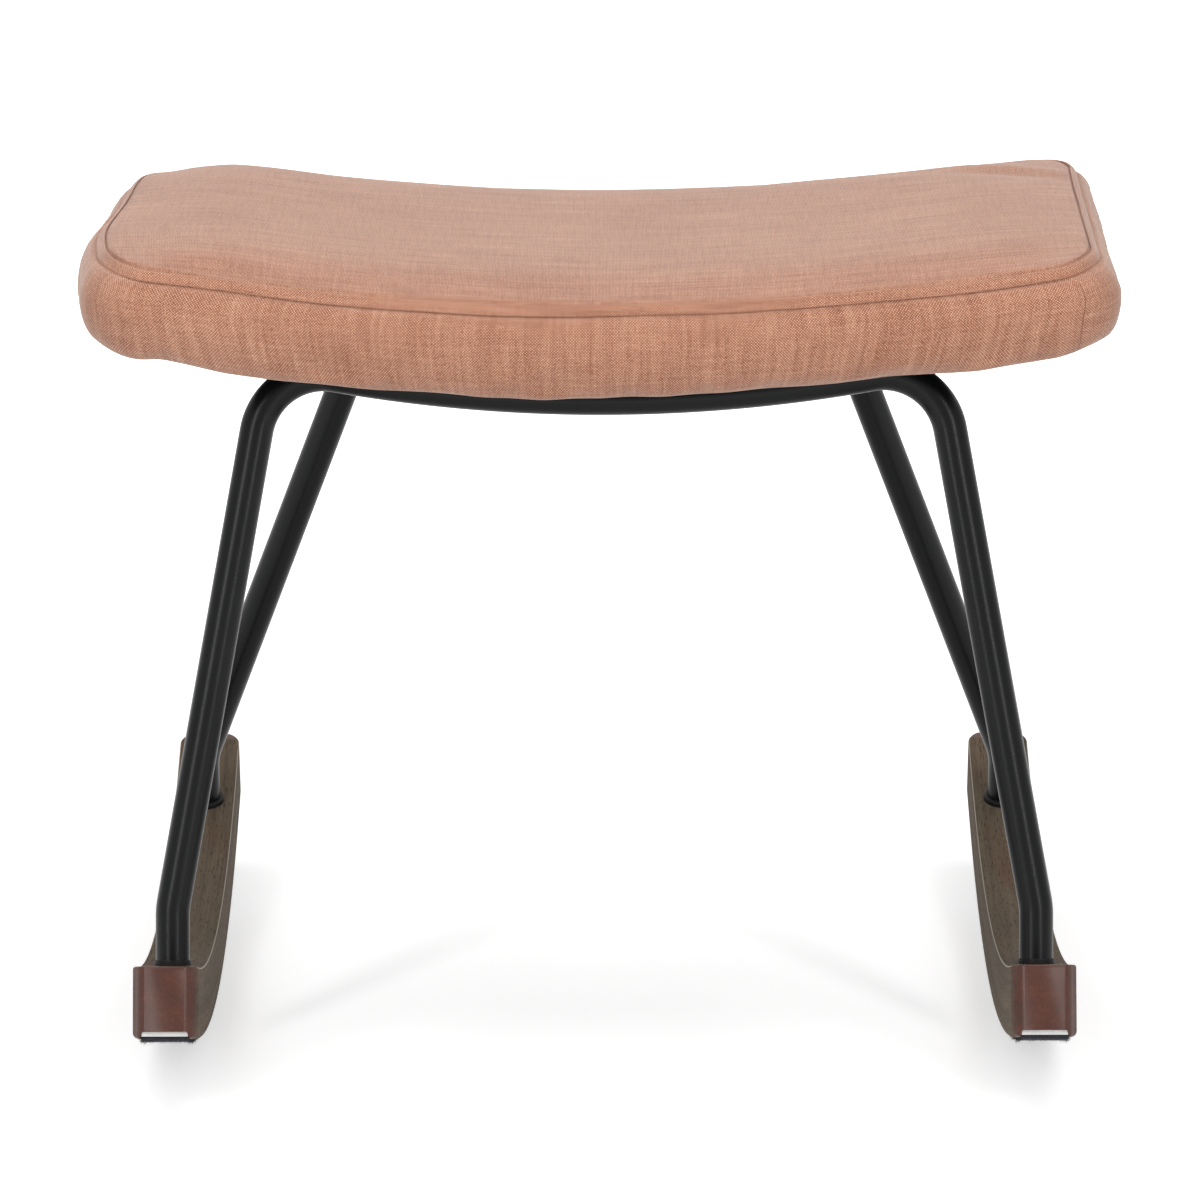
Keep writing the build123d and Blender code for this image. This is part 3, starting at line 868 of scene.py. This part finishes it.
def rise(axis, run):
    """A rounded rise from both rims of the top grid, along one of its directions."""
    steps = np.linalg.norm(np.diff(top_plan, axis=axis), axis=2)
    start = np.zeros(np.array(steps.shape) + np.eye(2, dtype=int)[axis])
    np.cumsum(steps, axis=axis, out=start[1:] if axis == 0 else start[:, 1:])
    end = start.max(axis=axis, keepdims=True) - start
    return 1 - (1 - np.clip(np.minimum(start, end) / run, 0, 1)) ** 3.4


from_ends, from_sides = rise(0, end_run), rise(1, side_run)
puff = from_ends * from_sides / (from_ends + from_sides - from_ends * from_sides + 1e-9)
top_rise = top_start + (peak - top_start) * puff
top_points = on_seat(top_plan[..., 0], top_plan[..., 1], seam_level(top_plan[..., 0]) + top_rise)
base_points = on_seat(base_plan[..., 0], base_plan[..., 1], np.zeros(base_plan.shape[:2]))
row_points = []
along_front = np.abs(station[:, 3]) ** 4
for row, (inset, share, above, corner) in enumerate(side_rows):
    plan = outline(inset, corner)
    if row >= len(side_rows) - 2:
        above = above + 0.0008 * along_front
    uneven_here = seam_wander if share == 1 else 0
    row_points.append(on_seat(plan[:, 0], plan[:, 1], seam_level(plan[:, 0]) * share + above + uneven_here))

patch = (grid_x + 1) * (grid_y + 1)
points = np.vstack([top_points.reshape(-1, 3), base_points.reshape(-1, 3)] + row_points)
rim = rim_of(top_plan)
rows = [2 * patch + i * count + np.arange(count) for i in range(len(side_rows))]
rows = [patch + rim] + rows + [rim]

# The weave's map, in metres: across the streaks and along them. The boxing's streaks run
# up and down, the top's from end to end, and those of the narrow end piece round it.
run_round = np.linalg.norm(np.roll(outline(0), -1, axis=0) - outline(0), axis=1)
run_round = np.concatenate([[0], np.cumsum(run_round)])
joint = grid_x - 3
faces, maps = [], []
number = np.arange(patch).reshape(grid_x + 1, grid_y + 1)
for i in range(grid_x):
    for j in range(grid_y):
        quad = [number[i, j], number[i + 1, j], number[i + 1, j + 1], number[i, j + 1]]
        faces.append(tuple(quad))
        maps.append([(points[q][1], points[q][0]) for q in quad])
        faces.append(tuple(patch + q for q in reversed(quad)))
        maps.append([(points[patch + q][1], points[patch + q][0] + 8.0) for q in reversed(quad)])
up_bed = [0.0022, 0.0018, 0.0018, 0.0022, 0.0022, 0.0012, 0.0016]
up_side = np.cumsum([0.0025, 0.002, 0.003] + [0.0038] * 11 + up_bed)
up_side = np.concatenate([[0], up_side])[: len(rows)]
turned_round = grid_x + grid_y + 3
for k in range(len(rows) - 1):
    for i in range(count):
        j = (i + 1) % count
        faces.append((rows[k][i], rows[k][j], rows[k + 1][j], rows[k + 1][i]))
        s0, s1, t0, t1 = run_round[i], run_round[i + 1], up_side[k], up_side[k + 1]
        if joint <= i < turned_round:
            maps.append([(t0, 3 + s0), (t0, 3 + s1), (t1, 3 + s1), (t1, 3 + s0)])
        else:
            maps.append([(1 + s0, t0), (1 + s1, t0), (1 + s1, t1), (1 + s0, t1)])
joint_runs = run_round[joint], run_round[turned_round]

mesh = mesh_of("cushion", points.tolist(), faces)
weave_map = mesh.uv_layers.new(name="weave")
weave_map.data.foreach_set("uv", np.array(maps).ravel())
mesh.shade_smooth()
cushion = added("cushion", mesh)

# The cloth is held along the seams and under the board, and less so next to them.
held = np.zeros(len(points))
held[patch : 2 * patch] = 1.0
for k in range(len(rows) - len(bed) - 1, len(rows) - 1):
    held[rows[k]] = 1.0
held[rows[len(rows) - len(bed) - 2]] = 0.6
held[rows[len(rows) - len(bed) - 3]] = 0.3
held[rows[1]] = 0.9
held[rows[2]] = 0.5
held[rim] = 0.35


def swell(piece, held, pressure, slack, cap):
    """Lets the filling press the cloth out, and keeps it where it settles."""
    start = np.array([v.co for v in piece.data.vertices])
    group = piece.vertex_groups.new(name="held")
    for weight in np.unique(held[held > 0]):
        group.add(np.flatnonzero(held == weight).tolist(), float(weight), "REPLACE")
    cloth = piece.modifiers.new("cloth", "CLOTH")
    settings = cloth.settings
    settings.quality = 5
    settings.mass = 0.25
    settings.tension_stiffness = settings.compression_stiffness = 14
    settings.shear_stiffness = 4
    settings.bending_stiffness = 0.4
    settings.vertex_group_mass = "held"
    settings.pin_stiffness = 3
    settings.use_pressure = True
    settings.uniform_pressure_force = pressure
    settings.shrink_min = -slack
    settings.effector_weights.gravity = 0
    cloth.collision_settings.use_collision = False
    for f in range(1, 21):
        scene.frame_set(f)
    graph = bpy.context.evaluated_depsgraph_get()
    settled = np.array([v.co for v in piece.evaluated_get(graph).data.vertices])
    piece.modifiers.clear()
    scene.frame_set(1)
    move = settled - start
    size = np.linalg.norm(move, axis=1)
    most, mean = (round(1000 * float(value), 2) for value in (size.max(), size.mean()))
    print("cushion cloth moved by", most, "mm at most,", mean, "on average")
    move *= (cap * np.tanh(size / cap) / np.maximum(size, 1e-9))[:, None]
    return start + move


settled = swell(cushion, held, 4.0, 0.006, 0.006)
move = evened((settled - points)[:patch].reshape(grid_x + 1, grid_y + 1, 3), 10)
settled[:patch] = points[:patch] + move.reshape(-1, 3)
settled[patch : 2 * patch] = points[patch : 2 * patch]


def hill(x, y, place, turn, long, wide):
    """A smooth ridge of height 1 about a place of the plan, along a heading."""
    dx, dy = x - place[0], y - place[1]
    along = dx * cos(turn) + dy * sin(turn)
    across = dy * cos(turn) - dx * sin(turn)
    return np.exp(-((along / long) ** 2) - (across / wide) ** 2)


def as_pulled(points):
    """Bowed ends, the left one most, a low rear left corner and a fuller rear right one."""
    x, y, z = np.array(points).T
    level = seat_dish_radius - np.hypot(x, seat_axis_height - z)
    near_end = np.clip((np.abs(x) - 0.185) / 0.075, 0, 1)
    near_end = near_end**2 * (3 - 2 * near_end)
    low = np.clip(1 - level / 0.022, 0, 1) ** 2
    left = x < 0
    x = x + np.sign(x) * near_end * low * 0.0085
    x = x - left * near_end * 0.0080 * np.exp(-(((y + 0.066) / 0.070) ** 2))
    x = x + ~left * near_end * 0.0014 * np.exp(-(((y - 0.040) / 0.080) ** 2))
    height = np.clip(level / 0.044, 0, 1)
    low_corner = hill(x, y, (-0.262, 0.160), radians(45), 0.060, 0.055) * height
    full_corner = hill(x, y, (0.262, 0.145), radians(45), 0.055, 0.065) * height
    drop = 0.0090 * low_corner + 0.0028 * full_corner
    x = x + 0.0088 * low_corner + 0.0036 * full_corner
    kept = seat_axis_height - np.sqrt((seat_dish_radius - level) ** 2 - x**2)
    return np.column_stack((x, y, z + low * (kept - z) - drop))


# What sewing and pulling do to the form: besides the ends, a soft fold near the rear right
# corner, a top rim that is not level (ridge) and an uneven lower edge (hang). Both tables
# hold places along the seat in metres and changes of height in millimetres.
settled = as_pulled(settled)
x, y, z = settled.T
on_top = np.arange(len(settled)) < patch
z = z + on_top * 0.0016 * hill(x, y, (0.222, 0.105), radians(-32), 0.040, 0.008)
z = z - on_top * 0.0016 * hill(x, y, (0.214, 0.090), radians(-32), 0.045, 0.009)
ridge = (
    (-0.26, -0.9), (-0.24, -0.8), (-0.225, 0.8), (-0.205, 2.2), (-0.18, 1.3),
    (-0.15, 0), (0, -1.2), (0.2, -0.4), (0.238, -1.4),
)
crest = np.interp(x, *np.array(ridge).T)
in_from_rim = np.clip(from_rim(np.column_stack((x, y)), top_inset, 0.03), 0, 1)
inside = 1 - np.exp(-((in_from_rim / 0.012) ** 2))
z = z + on_top * inside * 0.001 * crest
waves = np.random.default_rng(3)
round_here = np.arctan2(y / seat_half_depth, x / seat_half_width)
uneven = np.zeros(len(settled))
for beat in range(9, 60, 3):
    uneven += waves.normal(0, 1) * np.sin(beat * round_here + waves.uniform(0, 6.28)) / (1 + beat / 18)
level = seat_dish_radius - np.hypot(x, seat_axis_height - z)
to_rim = np.minimum(from_rim(np.column_stack((x, y)), underside_inset, 0.0255), 0.1)
at_edge = np.exp(-((level / 0.014) ** 2) - (to_rim / 0.009) ** 2)
at_edge = at_edge * np.clip(1.6 - to_rim / 0.007, 0, 1)
hang = (
    (-0.250, -3.4), (-0.240, -3.2), (-0.230, -1.3), (-0.220, -2.0), (-0.196, -3.6),
    (-0.172, -4.0), (-0.147, -2.4), (-0.122, -2.0), (0.0, -1.5), (0.1, 1.0), (0.122, 0.7),
    (0.147, 2.5), (0.172, 0.5), (0.196, -2.8), (0.22, -3.0), (0.235, -3.0), (0.252, -1.2),
)
droop = np.interp(x, *np.array(hang).T)
z = z + at_edge * (0.00035 * uneven + 0.001 * droop)
settled = np.column_stack((x, y, z))
cushion.data.vertices.foreach_set("co", settled.ravel())
smoother = cushion.modifiers.new("fine", "SUBSURF")
smoother.levels = smoother.render_levels = 1


def cover_finish():
    """Slubby two-tone weave: pale flecks on terracotta, in fine diagonal steps."""
    finish = Finish(bpy.data.materials.new("terracotta_weave"))
    u, v, _ = finish.parts(finish.add("ShaderNodeTexCoord", out="UV"))
    thread = 0.00150
    warp = u * (2 * pi / thread)
    weft = v * (2 * pi / thread)
    knots = finish.step(warp.sum("SINE", warp + weft) + warp.sum("SINE", warp - weft), 0.5, 1.8)
    bright = finish.noise(finish.vector(u * 520, v * 500, 9.0), 1.0, 1.0, 0.5)
    fleck = finish.noise(finish.vector(u * 950, v * 850, 3.0), 1.0, 2.0, 0.6)
    slub = finish.noise(finish.vector(u * 420, v * 26), 1.0, 3.0, 0.6)
    streak = finish.noise(finish.vector(u * 115, v * 9, 5.0), 1.0, 2.0, 0.5)
    slub_across = finish.noise(finish.vector(u * 30, v * 480), 1.0, 2.0, 0.55)
    cloud = finish.noise(finish.vector(u, v, 1.0), 16.0, 3.0, 0.55)
    tone = fleck * 0.38 + slub * 0.26 + streak * 0.12 + slub_across * 0.14 + cloud * 0.10
    tone = tone + knots * bright * 0.58 - 0.082
    colour = finish.ramp(
        tone,
        (0.32, (0.262, 0.094, 0.052)),
        (0.44, (0.405, 0.172, 0.100)),
        (0.53, (0.540, 0.270, 0.172)),
        (0.66, (0.800, 0.560, 0.430)),
    )
    up_boxing = finish.step(v, 0.0480, 0.0455) * finish.step(v, 0.0, 0.002)
    turned_boxing = finish.step(u, 0.0480, 0.0455)
    seam = 0.0
    for run in joint_runs:
        upright = finish.step(abs(u - (1 + run)), 0.0007, 0.0001) * up_boxing
        turned = finish.step(abs(v - (3 + run)), 0.0007, 0.0001) * turned_boxing
        seam = seam + upright.sum("MAXIMUM", upright, turned)
    colour = finish.mix(seam * 0.6, colour, (0.190, 0.068, 0.038))
    height = knots * 0.7 + fleck * 0.4 + slub * 0.6 - seam * 1.2
    normal = finish.bump(height, 0.00035, 0.55)
    return finish.surface(
        Base_Color=colour, Roughness=0.9, Normal=normal, Specular_IOR_Level=0.2,
        Sheen_Weight=0.6, Sheen_Roughness=0.40, Sheen_Tint=(1.0, 0.93, 0.88),
    )


cover = cover_finish()
settle(cushion, "cover_fabric", cover, "foam_core", "wadding", "cover_top_panel", "cover_boxing")

# ---------------------------------------------------------------- welt
# A soft flat roll of the same fabric, sewn in between the boxing and the top panel. It
# lies in the bed between the two seams and wanders a little, as sewn rolls do.
welt_half_width = 0.0034
welt_proud = 0.0010
lie = radians(50)             # of its flat side, between upright and level


def welt_rings():
    """Flat oval sections of the roll, at all stations."""
    rings = []
    plan = outline(0.0124, (lower_corner + upper_corner) / 2)
    middle = on_seat(plan[:, 0], plan[:, 1], seam_level(plan[:, 0]) + 0.0017 + seam_wander)
    plump = 1 + wander(9, 7, 0.09)
    for i in range(count):
        out = np.array((station[i, 2], station[i, 3], 0))
        up = np.array((0, 0, 1.0))
        flat = out * -cos(lie) + up * sin(lie)
        proud = out * sin(lie) + up * cos(lie)
        ring = []
        for j in range(18):
            turn = 2 * pi * j / 18
            bulge = abs(sin(turn)) ** 0.8 * (1 if sin(turn) > 0 else -0.7)
            level = 0.0003 + welt_proud * bulge * plump[i]
            ring.append(middle[i] + flat * welt_half_width * cos(turn) + proud * level)
        rings.append(np.array(ring))
    return rings


rings = [as_pulled(ring) for ring in welt_rings()]
welt = skin("welt", rings, closed=True, sharp=80, wide=0.018)
soft = welt.modifiers.new("fine", "SUBSURF")
soft.levels = soft.render_levels = 1
settle(welt, "cover_fabric", cover, "cover_welt")

# ---------------------------------------------------------------- dust cover and staples
# Black spun-bonded fabric closes the underside over the cover's stapled hem, with its
# edge turned under and a line of wire staples all round.
dust_inset = 0.025
dust_level = -0.0010
staple_step = 0.034
staple_width = 0.010
staple_wire = 0.0009


def spunbond_finish():
    """Pressed fibres with the small dimples of the calender."""
    finish, place = new_finish("black_spunbond")
    x, y, z = finish.parts(place)
    dimple = x.sum("SINE", x * (2 * pi / 0.0022)) * y.sum("SINE", y * (2 * pi / 0.0022))
    fibre = finish.noise(place, 700.0, 5.0, 0.75, 2.0)
    tone = fibre * 0.8 + dimple * 0.1
    colour = finish.ramp(tone, (0.3, (0.010, 0.010, 0.010)), (0.7, (0.034, 0.034, 0.034)))
    normal = finish.bump(fibre - dimple * 0.5, 0.00025, 0.7)
    return finish.surface(Base_Color=colour, Roughness=0.85, Normal=normal)


dust_plan = grid_inside(outline(dust_inset, 0.019))
sag = np.random.default_rng(21)
sheet_sag = np.clip(from_rim(dust_plan, dust_inset, 0.019) / 0.05, 0, 1)
quilt = np.zeros(dust_plan.shape[:2])
for _ in range(12):
    kx, ky, shift = sag.normal(0, 40), sag.normal(0, 40), sag.uniform(0, 6.28)
    quilt += np.sin(kx * dust_plan[..., 0] + ky * dust_plan[..., 1] + shift) / 12
across, back = dust_plan[..., 0], dust_plan[..., 1]
lower = on_seat(across, back, dust_level - 0.0002 - 0.0002 * (1 + quilt) * sheet_sag)
upper = on_seat(across, back, np.full(across.shape, -0.0001))
faces = []
for i in range(grid_x):
    for j in range(grid_y):
        quad = [number[i, j], number[i + 1, j], number[i + 1, j + 1], number[i, j + 1]]
        faces.append(tuple(quad))
        faces.append(tuple(patch + q for q in reversed(quad)))
for i in range(count):
    j = (i + 1) % count
    faces.append((rim[i], patch + rim[i], patch + rim[j], rim[j]))
both = np.vstack((upper.reshape(-1, 3), lower.reshape(-1, 3))).tolist()
dust_sheet = finished("dust_sheet", mesh_of("dust_sheet", both, faces), 60)
settle(dust_sheet, "dust_cover_fabric", spunbond_finish(), "dust_cover")


def staple_mesh():
    """The crown of a wire staple, its legs just going in."""
    rings = []
    half, bend = staple_width / 2, 0.0006
    path = [(-half, 0.0009, 0), (-half, -0.0001, 0)]
    path += [(-half + bend - bend * cos(t), -0.0001 - bend * sin(t), 0) for t in (0.6, 1.1, 1.57)]
    path += [(0, -0.0007, 0)]
    path += [(-a, b, 0) for a, b, _ in reversed(path[:-1])]
    for k, (a, b, _) in enumerate(path):
        before, after = path[max(k - 1, 0)], path[min(k + 1, len(path) - 1)]
        heading = np.array((after[0] - before[0], 0, after[1] - before[1]))
        heading /= np.linalg.norm(heading)
        out = np.cross(heading, (0, 1, 0))
        rings.append([
            np.array((a, 0, b)) + staple_wire / 2 * (0.7 * cos(t) * out + sin(t) * np.array((0, 1, 0)))
            for t in np.linspace(0, 2 * pi, 7)[:-1]
        ])
    return skin("staple", rings)


def staple_tree(finish):
    """One staple after another along a curve, each turned a little by chance."""
    tree, given = new_tree("staple_line", Staple="Object", Spacing="Float")
    curve = linked(tree, "GeometryNodeMeshToCurve", Mesh=given["Geometry"])
    spaced = linked(
        tree, "GeometryNodeCurveToPoints", {"mode": "LENGTH"},
        Curve=curve.outputs["Curve"], Length=given["Spacing"],
    )
    facing = linked(
        tree, "FunctionNodeAlignEulerToVector", {"axis": "X"}, Vector=spaced.outputs["Tangent"]
    )
    upright = linked(
        tree, "FunctionNodeAlignEulerToVector", {"axis": "Z", "pivot_axis": "X"},
        Rotation=facing.outputs["Rotation"], Vector=(0, 0, 1),
    )
    turned = turned_by_chance(tree, upright.outputs["Rotation"], (0, 0, -0.16), (0, 0, 0.16), 4)
    shape = linked(tree, "GeometryNodeObjectInfo", Object=given["Staple"])
    return strewn(
        tree, finish, Points=spaced.outputs["Points"], Instance=shape.outputs["Geometry"],
        Rotation=turned,
    )


staple = staple_mesh()
line_plan = outline(dust_inset + 0.006, 0.014)
line = on_seat(line_plan[:, 0], line_plan[:, 1], np.full(count, dust_level - 0.0002))
round_line = [(i, (i + 1) % count) for i in range(count)]
staples = added("staples", mesh_of("staples", line.tolist(), [], round_line))
maker = staples.modifiers.new("staple_line", "NODES")
maker.node_group = staple_tree(zinc)
set_inputs(maker, Staple=staple, Spacing=staple_step)
meshed(staples)
bpy.data.objects.remove(staple)
settle(staples, "zinc_steel", zinc)
